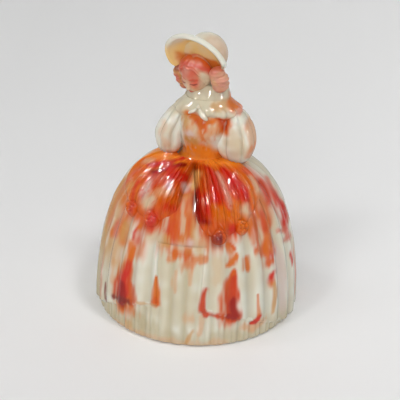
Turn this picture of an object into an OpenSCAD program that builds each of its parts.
// Pressed slag-glass figurine: a lady in a hooped gown and a poke bonnet.
// Millimetres, +Z up. The origin is the centre of the foot ring, and she faces -Y.
// Her left is +X. The skirt is a hollow bell, and every moulded part of the gown,
// bust and bonnet is a closed solid seated on the part that carries it.

/* [Skirt bell] */
// Outer radius of the plain bell at the foot
bell_r = 47; // [40:0.5:56]
// Height of the plain bell, if it ran on to a point
bell_h = 77; // [66:0.5:90]
// Thickness of the glass wall at the foot
wall = 6; // [4:0.5:9]
// Thickness of the glass above the hollow
crown_t = 12; // [8:0.5:20]
// Radius of the flat seat for the waist
seat_r = 10.6; // [9.5:0.1:13]

/* [Petticoat] */
// Broad flutes in the front opening
front_flutes = 3; // [3:2:5]
// Narrow flutes on each side of the opening
side_flutes = 8; // [5:1:9]
// Width of one narrow flute in degrees
flute_pitch = 7.8; // [6:0.2:9]
// Height of a flute over its valley
flute_d = 1.3; // [0.6:0.1:1.8]
// Thickness of the fluted skin in its valleys
skin_t = 0.8; // [0.5:0.1:1.2]
// Height of the top of the fluted front panel
panel_top = 48; // [36:1:56]

/* [Overskirt] */
// Thickness of the overskirt at its mean line
over_t = 2.6; // [1.8:0.1:3.6]
// Pleats round the overskirt
pleats = 28; // [16:1:32]
// Depth of a pleat from its mean line
pleat_d = 0.8; // [0.3:0.1:1.2]
// Half of the front opening in degrees
opening = 12; // [8:1:18]
// Height of the hem beside the opening
hem_rise = 20; // [10:1:26]
// Azimuth where the hem reaches the floor
hem_end = 88; // [70:1:110]
// Clearance under the hem and the flutes
foot_gap = 0.4; // [0.2:0.1:0.8]

/* [Swags] */
// Height of the puff of her left swag
left_puff = 3; // [2:0.1:4]
// Height of the puff of her flatter right swag
right_puff = 1.6; // [1:0.1:3]
// Gathers across a swag
gathers = 15; // [8:1:16]
// Depth of a gather
gather_d = 1.2; // [0.4:0.1:1.5]
// Azimuth of the middle of her left swag
left_swag_az = 36; // [32:1:42]
// Half-width of her left swag in degrees
left_swag_half = 29; // [22:1:30]
// Height of the bottom of her left swag
left_swag_low = 55.5; // [50:0.5:58]
// Azimuth of the middle of her right swag
right_swag_az = -38; // [-44:1:-36]
// Half-width of her right swag in degrees
right_swag_half = 34; // [24:1:35]
// Height of the bottom of her right swag
right_swag_low = 58.5; // [55:0.5:62]
// Height of the ends of both swags
swag_end = 68; // [66:0.5:71]
// Radius of a rosette
rosette_r = 3.6; // [2.5:0.1:4.2]
// Petals round a rosette
petals = 6; // [4:1:8]

/* [Bust] */
// Height of the bodice from waist to neck
bodice_h = 32.4; // [28:0.2:38]
// Half-width of the waist
waist_w = 8.8; // [8:0.1:10]
// Half-width of the chest
chest_w = 12; // [10.5:0.1:13.5]
// Half-depth of the chest
chest_d = 10.4; // [9:0.1:12]
// Half-width of the shoulders
shoulder_w = 13.8; // [12:0.1:15]
// Shift of the bust towards her left
bust_x = 1.6; // [0:0.1:3]
// Half-width of the armhole plane
armhole = 10.4; // [9.5:0.1:12]
// Reach of a puffed sleeve beyond the armhole
sleeve_w = 13.4; // [10:0.1:15]
// Extra reach of her left sleeve
left_reach = 1.4; // [0:0.1:2.5]
// Half-depth of a sleeve
sleeve_d = 8.8; // [7:0.1:10]
// Thickness of the shoulder kerchief
fichu_t = 1.3; // [0.8:0.1:1.8]
// Radius of the neck
neck_r = 8; // [6:0.1:8.5]

/* [Head and bonnet] */
// Turn of the face towards her right
face_yaw = 27; // [15:1:40]
// Downward tilt of the face
face_pitch = 22; // [10:1:28]
// Height of the brim's centre over the neck
brim_rise = 17; // [16:0.5:20]
// Offset of the brim's centre towards her right
brim_x = 5.2; // [3:0.1:7]
// Offset of the brim's centre forwards
brim_y = 5.6; // [3:0.1:8]
// Half-width of the head
head_w = 7.4; // [6.5:0.1:8]
// Half-depth of the head
head_d = 8.2; // [7:0.1:9]
// Half-height of the head
head_h = 9.6; // [8.5:0.1:10.5]
// Half-width of the brim's rim
rim_w = 17; // [14:0.5:19]
// Half-height of the brim's rim
rim_h = 12.9; // [12:0.1:15]
// Thickness of the brim
brim_t = 2; // [1.6:0.1:2.6]
// Radius of the bonnet's crown
crown_r = 9.9; // [9:0.1:11]
// Depth of the bonnet's crown behind its seam
crown_d = 14; // [12:0.5:18]
// Radius of the bunch of curls on her left
curl_r = 3.9; // [2.8:0.1:4.2]
// Length of the bunch of curls on her left
curl_l = 11.5; // [9:0.5:13]
// Radius of the curl that hangs under the brim on her right
far_curl_r = 2.8; // [2:0.1:3.2]
// Length of that curl
far_curl_l = 8.4; // [6:0.2:10]

/* [Hidden] */

// Seating clearance between two moulded parts
fit = 0.25;
// Exponents of the bell's superellipse, across and upwards
bell_across = 0.7;
bell_up = 10 / 11;
// Steps of the bell's outline
bell_steps = 28;

glass_white = [0.88, 0.85, 0.76];
glass_cream = [0.86, 0.74, 0.6];
glass_orange = [0.86, 0.42, 0.12];
glass_red = [0.76, 0.2, 0.1];

// A value between a and b, and a smooth step from 0 at a to 1 at b
function mix(a, b, t) = a + (b - a) * t;
function unit(t) = min(1, max(0, t));
function smooth(a, b, x) = let (t = unit((x - a) / (b - a))) t * t * (3 - 2 * t);
function flatten(rows) = [for (row = rows) each row];

// Closed solid between two grids of points that have the same rows and columns
module slab(inner, outer) {
    rows = len(inner);
    cols = len(inner[0]);
    half = rows * cols;
    function at(r, c) = r * cols + c;
    skins = [for (r = [0 : rows - 2], c = [0 : cols - 2]) each [
        [half + at(r, c), half + at(r + 1, c), half + at(r + 1, c + 1)],
        [half + at(r, c), half + at(r + 1, c + 1), half + at(r, c + 1)],
        [at(r, c), at(r + 1, c + 1), at(r + 1, c)],
        [at(r, c), at(r, c + 1), at(r + 1, c + 1)]]];
    ends = [for (c = [0 : cols - 2]) each [
        [at(0, c), half + at(0, c), half + at(0, c + 1)],
        [at(0, c), half + at(0, c + 1), at(0, c + 1)],
        [at(rows - 1, c), half + at(rows - 1, c + 1), half + at(rows - 1, c)],
        [at(rows - 1, c), at(rows - 1, c + 1), half + at(rows - 1, c + 1)]]];
    sides = [for (r = [0 : rows - 2]) each [
        [at(r, 0), half + at(r + 1, 0), half + at(r, 0)],
        [at(r, 0), at(r + 1, 0), half + at(r + 1, 0)],
        [at(r, cols - 1), half + at(r, cols - 1), half + at(r + 1, cols - 1)],
        [at(r, cols - 1), half + at(r + 1, cols - 1), at(r + 1, cols - 1)]]];
    polyhedron(concat(flatten(inner), flatten(outer)), concat(skins, ends, sides), convexity = 8);
}

// Closed solid through a stack of rings, lowest first, with flat ends
module loft(rings) {
    n = len(rings[0]);
    last = (len(rings) - 1) * n;
    walls = [for (r = [0 : len(rings) - 2], c = [0 : n - 1]) let (d = (c + 1) % n) each [
        [r * n + c, (r + 1) * n + c, (r + 1) * n + d],
        [r * n + c, (r + 1) * n + d, r * n + d]]];
    bottom = [for (c = [0 : n - 1]) c];
    top = [for (c = [0 : n - 1]) last + n - 1 - c];
    polyhedron(flatten(rings), concat(walls, [bottom, top]), convexity = 6);
}

// Point on the skirt at an azimuth from the front and a rise up the bell, lifted off it
function skirt_point(az, rise, lift) =
    let (r = (bell_r + lift) * pow(cos(rise), bell_across),
         z = (bell_h + lift) * pow(sin(rise), bell_up))
    [r * sin(az), -r * cos(az), z];
// Rise up the bell at a height, and at a radius
function rise_at_height(z, lift = 0) = asin(pow(unit(z / (bell_h + lift)), 1 / bell_up));
function rise_at_radius(r) = acos(pow(r / bell_r, 1 / bell_across));
// Height of the lifted skirt at a radius from the axis
function skirt_height(r, lift) =
    (bell_h + lift) * pow(sin(acos(pow(unit(r / (bell_r + lift)), 1 / bell_across))), bell_up);

seat_rise = rise_at_radius(seat_r);
waist_z = bell_h * pow(sin(seat_rise), bell_up);
neck_z = waist_z + bodice_h;

// The hollow glass bell, with its foot ring on the floor
module skirt_bell() {
    hollow_r = bell_r - wall;
    hollow_h = bell_h - crown_t;
    outside = [for (i = [0 : bell_steps]) let (rise = seat_rise * i / bell_steps)
        [bell_r * pow(cos(rise), bell_across), bell_h * pow(sin(rise), bell_up)]];
    inside = [for (i = [0 : bell_steps]) let (rise = 90 * (1 - i / bell_steps))
        [hollow_r * pow(cos(rise), bell_across), hollow_h * pow(sin(rise), bell_up)]];
    color(glass_white)
    rotate_extrude($fn = 96)
    polygon(concat(outside, [[0, waist_z]], inside));
}

// Fluted petticoat skin: a hem band that runs up into the front opening
module petticoat_flutes() {
    samples = 4;
    front = opening - side_gap;
    front_cols = front_flutes * samples;
    side_cols = side_flutes * samples;
    right_cols = [for (c = [side_cols : -1 : 0]) [-opening - c * flute_pitch / samples, c, 0]];
    middle_cols = [for (c = [0 : front_cols]) [mix(-front, front, c / front_cols), c, 1]];
    left_cols = [for (c = [0 : side_cols]) [opening + c * flute_pitch / samples, c, 0]];
    columns = concat(right_cols, middle_cols, left_cols);
    levels = [0 : 0.2 : 1];
    function top(col) = (col[2] == 1 ? panel_top : hem_line(col[0])) - fit;
    function rise(col, k) = rise_at_height(mix(foot_gap, top(col), k));
    function az(col, k) = col[2] == 0 ? col[0] : col[0] * (opening_at(rise(col, k)) - side_gap) / front;
    function ridge(col) = fit + skin_t + flute_d * (0.5 - 0.5 * cos(360 * col[1] / samples));
    color(glass_white)
    slab([for (k = levels) [for (col = columns) skirt_point(az(col, k), rise(col, k), fit)]],
         [for (k = levels) [for (col = columns) skirt_point(az(col, k), rise(col, k), ridge(col))]]);
}
// Clearance in degrees between the fluted panel and the edges of the opening
side_gap = 0.4;

// Height of the overskirt's hem, which falls from the opening to the floor at the sides
function hem_line(a) = mix(hem_rise, foot_gap, smooth(opening - 8, hem_end, abs(a)));
// Mean thickness and pleats of the overskirt, by the share of the way round and the rise
function pleat_lift(share, rise) =
    over_t + fit + tier_step * smooth(panel_rise, panel_rise + 1.5, rise)
    + pleat_d * cos(360 * pleats * share) * (1 - 0.6 * smooth(40, 80, rise));
// Step of the overskirt's upper tier, whose edge lies level with the top of the fluted panel
tier_step = 0.4;
over_top = rise_at_radius(seat_r + fit);
// The opening widens a little to the top of the fluted panel and closes there to a slit
slit = 0.12;
widening = 2;
panel_rise = rise_at_height(panel_top);
function opening_at(rise) = mix(opening + widening * smooth(0.3 * panel_rise, panel_rise, rise), slit,
                                smooth(panel_rise + 0.4, panel_rise + 1.6, rise));
// Azimuth of a share of the way round: only the columns near the opening follow its edges
function over_az(share, rise) = let (a = mix(opening, 360 - opening, share), o = opening_at(rise) - opening)
    a + o * (1 - smooth(0, 0.035, share)) - o * (1 - smooth(0, 0.035, 1 - share));
function over_share(az, rise) = ((az < 0 ? az + 360 : az) - opening) / (360 - 2 * opening);
function over_lift(az, rise) = pleat_lift(unit(over_share(az, rise)), rise);

// Pleated overskirt, open in front and down to the floor behind
module overskirt() {
    cols = pleats * 4;
    low_rows = 4;
    rows = 12;
    function hem(c) = let (a = mix(opening, 360 - opening, c / cols)) hem_line(a > 180 ? 360 - a : a);
    function rise(r, c) = r <= low_rows ? mix(rise_at_height(hem(c)), panel_rise + 0.3, r / low_rows) :
        mix(panel_rise + 1.7, over_top, (r - low_rows - 1) / (rows - low_rows - 1));
    function az(r, c) = over_az(c / cols, rise(r, c));
    color(glass_cream)
    slab([for (r = [0 : rows]) [for (c = [0 : cols]) skirt_point(az(r, c), rise(r, c), fit)]],
         [for (r = [0 : rows]) [for (c = [0 : cols])
            skirt_point(az(r, c), rise(r, c), pleat_lift(c / cols, rise(r, c)))]]);
}

// Lower edge of a swag, as azimuth and height, from its inner end to its outer end
function swag_edge(mid, half, low, side, u) = let (sag = side > 0 ? left_sag : right_sag)
    [mid - side * half * cos(180 * u), swag_end - (swag_end - low) * (sin(180 * u) + sag * sin(360 * u))];
// Share by which each swag hangs lower at its inner end
left_sag = 0.3;
right_sag = 0.16;
// Places of the rosettes along that edge, and the way the edge rises round each of them
rosette_places = [0.36, 0.54];
degree = PI / 180;
// Share of the bell's radius that is left at the height of the rosettes
bell_taper = 0.86;
function notch(mid, half, low, side, u) = let (edge = swag_edge(mid, half, low, side, u)) max([
    for (v = rosette_places)
    let (middle = swag_edge(mid, half, low, side, v),
         across = (edge[0] - middle[0]) * degree * bell_r * bell_taper,
         room = pow(rosette_r + 2 * fit, 2) - across * across)
    room > 0 ? max(0, middle[1] + sqrt(room) - edge[1]) : 0]);

// Gathered swag: a fan of folds from the waist that puffs out over the overskirt
module swag(mid, half, low, side) {
    cols = gathers * 5;
    rows = 11;
    puff = side > 0 ? left_puff : right_puff;
    waist_rise = over_top - 2;
    function edge_rise(u) =
        rise_at_height(swag_edge(mid, half, low, side, u)[1] + notch(mid, half, low, side, u), over_t);
    function az(u, v) = mix(mid - side * half * 1.05 * cos(180 * u), swag_edge(mid, half, low, side, u)[0], v);
    function rise(u, v) = mix(waist_rise, edge_rise(u), v);
    function under(u, v) = over_lift(az(u, v), rise(u, v)) + fit;
    function crest(u) = 0.5 + 0.5 * cos(360 * gathers * u + 40 * sin(800 * u + 40));
    function swell(u, v) = 0.5
        + puff * pow(sin(180 * v * v), 0.8) * pow(sin(180 * (0.06 + 0.88 * u)), 0.5)
        + gather_d * crest(u) * smooth(0.05, 0.35, v) * (1 - 0.4 * smooth(0.7, 1, v));
    function across(c) = side > 0 ? c / cols : 1 - c / cols;
    slab([for (k = [rows : -1 : 0]) [for (c = [0 : cols]) let (u = across(c), v = k / rows)
            skirt_point(az(u, v), rise(u, v), under(u, v))]],
         [for (k = [rows : -1 : 0]) [for (c = [0 : cols]) let (u = across(c), v = k / rows)
            skirt_point(az(u, v), rise(u, v), under(u, v) + swell(u, v))]]);
}
module swag_left() { color(glass_red) swag(left_swag_az, left_swag_half, left_swag_low, 1); }
module swag_right() { color(glass_orange) swag(right_swag_az, right_swag_half, right_swag_low, -1); }

// Rosette seated on the overskirt in a notch of the swag's edge
module rosette(mid, half, low, side, u) {
    edge = swag_edge(mid, half, low, side, u);
    rise = rise_at_height(edge[1], over_t);
    r_here = (bell_r + over_t) * pow(cos(rise), bell_across);
    segments = petals * 4;
    rings = [0, 0.4, 0.75, 1];
    function az(k, a) = edge[0] + rosette_r * k * cos(a) / r_here / degree;
    function up(k, a) = rise_at_height(edge[1] + rosette_r * k * sin(a) * 0.93, over_t);
    function dome(k, a) = 0.6 + 3 * sqrt(1 - 0.96 * k * k) * (1 + 0.14 * cos(petals * a));
    function under(k, a) = over_lift(az(k, a), up(k, a)) + fit;
    disc([for (k = rings) [for (s = [0 : segments - 1]) let (a = 360 * s / segments)
            skirt_point(az(k, a), up(k, a), under(k, a))]],
         [for (k = rings) [for (s = [0 : segments - 1]) let (a = 360 * s / segments)
            skirt_point(az(k, a), up(k, a), under(k, a) + dome(k, a))]]);
}
// Closed solid between two sets of rings that grow from a centre
module disc(inner, outer) {
    loft(concat([for (k = [1 : len(inner) - 1]) inner[k]], [for (k = [len(outer) - 1 : -1 : 1]) outer[k]]));
}
module rosettes_left() {
    color(glass_orange)
    for (u = rosette_places) rosette(left_swag_az, left_swag_half, left_swag_low, 1, u);
}
module rosettes_right() {
    color(glass_orange)
    for (u = rosette_places) rosette(right_swag_az, right_swag_half, right_swag_low, -1, u);
}

// Half-width, half-depth and forward shift of the bodice at a share of its height
function bust_w(t) = t < 0.5 ? mix(waist_w, chest_w, smooth(0, 0.5, t)) :
    mix(mix(chest_w, shoulder_w, smooth(0.5, 0.8, t)), neck_r + 1.2, smooth(0.78, 1, t));
function bust_d(t) = t < 0.5 ? mix(waist_w * 0.86, chest_d, smooth(0, 0.5, t)) :
    mix(chest_d, neck_r + 1, smooth(0.45, 1, t));
function bust_fore(t) = 1.6 * sin(180 * unit(t * 1.02));
function bust_point(az, t, lift) =
    [bust_x + (bust_w(t) + lift) * sin(az), -bust_fore(t) - (bust_d(t) + lift) * cos(az),
     waist_z + bodice_h * t];
// Shares of the bodice's height at the foot and at the top of the sleeves
sleeve_low = 0.05;
sleeve_high = 0.84;
// The armholes are flat, so that the sleeves seat on them
function armhole_cut(p) = [min(bust_x + armhole, max(bust_x - armhole, p[0])), p[1], p[2]];

module bodice() {
    segments = 32;
    rows = 12;
    color(glass_orange)
    loft([for (r = [0 : rows]) [for (s = [0 : segments - 1])
        armhole_cut(bust_point(-360 * s / segments, r / rows, 0)) + [0, 0, r == 0 ? fit / 2 : 0]]]);
}

// Kerchief round the shoulders, lower in front and behind than over the sleeves
module fichu() {
    cols = 40;
    rows = 4;
    function low(a) = mix(0.66, sleeve_high + 0.03, smooth(0.3, 0.75, abs(sin(a))));
    function inside(a, t) = armhole_cut(bust_point(a, t, 0)) + [fit * sin(a), -fit * cos(a), 0];
    function outside(a, t, v) = armhole_cut(bust_point(a, t, 0)) +
        (fit + fichu_t * (0.45 + 0.55 * sin(180 * mix(0.12, 0.88, v)))) * [sin(a), -cos(a), 0.35];
    function t(a, v) = mix(low(a), 0.99, v);
    // Half of the parting in front
    parting = 1.2;
    function az(c) = mix(parting, 360 - parting, c / cols);
    color(glass_white)
    slab([for (r = [0 : rows]) [for (c = [0 : cols]) inside(az(c), t(az(c), r / rows))]],
         [for (r = [0 : rows]) [for (c = [0 : cols]) outside(az(c), t(az(c), r / rows), r / rows)]]);
}

// The ends of the bonnet's ribbon, two drops on the front of the chest
module neck_bow() {
    tail_r = 1.6;
    tail_l = 8;
    bow_az = -16;
    knot = bust_point(bow_az, 0.86, fichu_t + fit + tail_r + 0.2);
    module tail(lean, length) {
        translate(knot) rotate([-14, lean, 0])
        hull() {
            translate([0, 0, -length]) sphere(tail_r, $fn = 20);
            translate([0, 0, -0.5]) sphere(tail_r * 0.55, $fn = 20);
        }
    }
    color(glass_white) union() {
        tail(28, tail_l * 0.6);
        tail(-28, tail_l);
    }
}

// Puffed sleeve: a stack of folded rings, flat at the armhole and seated on the skirt
module sleeve(side) {
    segments = 26;
    rows = 11;
    reach = sleeve_w + (side > 0 ? left_reach : 0);
    // Draw of the sleeve's top towards the neck
    slope = side > 0 ? 3.4 : 5;
    function share(t) = mix(0.03, 0.985, (t - sleeve_low) / (sleeve_high - sleeve_low));
    function round_off(t) = pow(1 - pow(abs(2 * share(t) - 1), 2.2), 0.45);
    function fold(a) = 1 - 0.07 * pow(abs(cos(1.5 * a - 25)), 6);
    function ring_point(a, t) = let (
        x = armhole + reach * (0.46 + 0.54 * round_off(t) * fold(a) * sin(a))
            - slope * smooth(0.35, sleeve_high, t),
        y = -0.4 - sleeve_d * round_off(t) * fold(a) * cos(a))
        [bust_x + side * max(armhole + fit, x), y, waist_z + bodice_h * t];
    function seated(p) =
        [p[0], p[1], max(p[2], skirt_height(norm([p[0], p[1]]), over_t + pleat_d + 2 * fit + 0.6))];
    color(glass_white)
    loft([for (r = [0 : rows]) [for (s = [0 : segments - 1])
        seated(ring_point(-side * 360 * s / segments, mix(sleeve_low, sleeve_high, r / rows)))]]);
}
module sleeve_left() { sleeve(1); }
module sleeve_right() { sleeve(-1); }

// Frame of the head and bonnet: the origin is the centre of the brim's rim
brim_at = [bust_x - brim_x, -brim_y, neck_z + brim_rise];
module in_head_frame() { translate(brim_at) rotate([0, 0, -face_yaw]) rotate([face_pitch, 0, 0]) children(); }
function turned(p) = let (
    y = p[1] * cos(face_pitch) - p[2] * sin(face_pitch),
    z = p[1] * sin(face_pitch) + p[2] * cos(face_pitch))
    brim_at + [p[0] * cos(face_yaw) + y * sin(face_yaw), -p[0] * sin(face_yaw) + y * cos(face_yaw), z];

// In that frame: the middle of the head, the seam of the crown and the head's lower cut
head_at = [-1.6, 2.4, -8.4];
seam_y = 5;
seam_z = -1.8;
head_cut = -0.9;
hair_t = 1.4;
// Arc of the brim from its top, on her left and on her right
arc_left = 100;
arc_right = 134;

// Point on the head at an azimuth from the face and a share of its half-height
function head_point(az, t, lift) = let (
    w = sqrt(1 - t * t),
    jaw = 1 - 0.16 * smooth(0, -1, t))
    head_at + [(head_w * w * jaw + lift) * sin(az),
               -(head_d * w + lift) * cos(az) - 0.8 * smooth(0.2, -0.8, t), head_h * t];
function seam_cut(p) = [p[0], min(p[1], seam_y), p[2]];

module head() {
    segments = 30;
    rows = 12;
    color(glass_orange) in_head_frame()
    loft([for (r = [0 : rows]) let (t = mix(head_cut, 0.97, r / rows)) [for (s = [0 : segments - 1])
        seam_cut(head_point(-360 * s / segments, t, 0))]]);
}

// Front hair between the face and the brim
module hair() {
    cols = 24;
    rows = 4;
    function t(a, v) = mix(mix(0.58, 0.05, smooth(20, 85, abs(a))), 0.93, v);
    function lift(v) = 0.4 + hair_t * sin(180 * mix(0.1, 0.75, v));
    color(glass_orange) in_head_frame()
    slab([for (r = [0 : rows]) [for (c = [0 : cols]) let (a = mix(-95, 95, c / cols))
            seam_cut(head_point(a, t(a, r / rows), fit))]],
         [for (r = [0 : rows]) [for (c = [0 : cols]) let (a = mix(-95, 95, c / cols))
            seam_cut(head_point(a, t(a, r / rows), fit + lift(r / rows)))]]);
}

// Twisted bunch of ringlets about a point of the head's frame
module curls(middle, radius, length) {
    segments = 16;
    rows = 10;
    function twist(a, t) = 1 + 0.1 * cos(3 * a + 400 * t);
    function girth(t) = radius * pow(sin(180 * mix(0.1, 0.92, t)), 0.6);
    color(glass_orange) in_head_frame()
    loft([for (r = [0 : rows]) let (t = r / rows) [for (s = [0 : segments - 1]) let (a = -360 * s / segments)
        middle + [girth(t) * twist(a, t) * sin(a), -girth(t) * twist(a, t) * cos(a), length * (t - 0.5)]]]);
}
// Her left curls lie beside the hair, and her right curl hangs from the end of the brim
module curls_left() { curls(head_at + [head_w + hair_t + fit + curl_r, -0.6, 0], curl_r, curl_l); }
module curls_right() {
    brim_end = seam_z + crown_r * cos(arc_right) - brim_t * 0.4;
    middle = [-crown_r - far_curl_r * 0.75, head_at[1] - 0.6, brim_end - fit - far_curl_l / 2];
    curls(middle, far_curl_r, far_curl_l);
}

module neck() {
    segments = 24;
    foot = [for (s = [0 : segments - 1]) let (a = -360 * s / segments)
        [bust_x + neck_r * sin(a), -neck_r * cos(a) - bust_fore(1), neck_z + fit / 2]];
    top = [for (s = [0 : segments - 1]) let (a = -360 * s / segments, p = head_point(a, head_cut, 0))
        turned([p[0] * 0.96, p[1], p[2] - fit / 2])];
    color(glass_white) loft([foot, top]);
}

// Flared brim that arches over the face, longer on her right than over her left curls
module bonnet_brim() {
    cols = 34;
    rows = 5;
    function arc(c) = mix(-arc_right, arc_left, c / cols);
    function reach(a) = 1 - 0.5 * smooth(78, arc_left, a) - 0.4 * smooth(112, arc_right, -a);
    function brim_point(a, s, back) = let (k = s * reach(a), flare = pow(k, 1.2))
        [mix(crown_r, rim_w, k) * sin(a), mix(seam_y - fit, 0, flare) + back * 0.8,
         mix(seam_z, 0, k) + mix(crown_r, rim_h, k) * cos(a)] + back * 0.6 * [sin(a), 0, cos(a)];
    function full(s) = brim_t * (s == 1 ? 0.6 : 1);
    color(glass_cream) in_head_frame()
    slab([for (r = [0 : rows]) [for (c = [0 : cols]) brim_point(arc(c), r / rows, 0)]],
         [for (r = [0 : rows]) [for (c = [0 : cols]) brim_point(arc(c), r / rows, full(r / rows))]]);
}

// Domed crown behind the seam
module bonnet_crown() {
    segments = 30;
    rows = 8;
    // Share of the depth where the wall turns into the dome
    bend = 0.35;
    function girth(t) = crown_r * (t < bend ? mix(0.97, 1, sin(90 * t / bend)) :
        sqrt(1 - pow((t - bend) / (1.01 - bend), 2)));
    function angle(s) = 360 * s / segments;
    color(glass_cream) in_head_frame()
    loft([for (r = [0 : rows]) let (t = pow(r / rows, 0.8)) [for (s = [0 : segments - 1]) let (a = angle(s))
        [girth(t) * sin(a), seam_y + fit + crown_d * t, seam_z + girth(t) * cos(a)]]]);
}

skirt_bell();
petticoat_flutes();
overskirt();
swag_left();
swag_right();
rosettes_left();
rosettes_right();
bodice();
fichu();
neck_bow();
sleeve_left();
sleeve_right();
neck();
head();
hair();
curls_left();
curls_right();
bonnet_brim();
bonnet_crown();
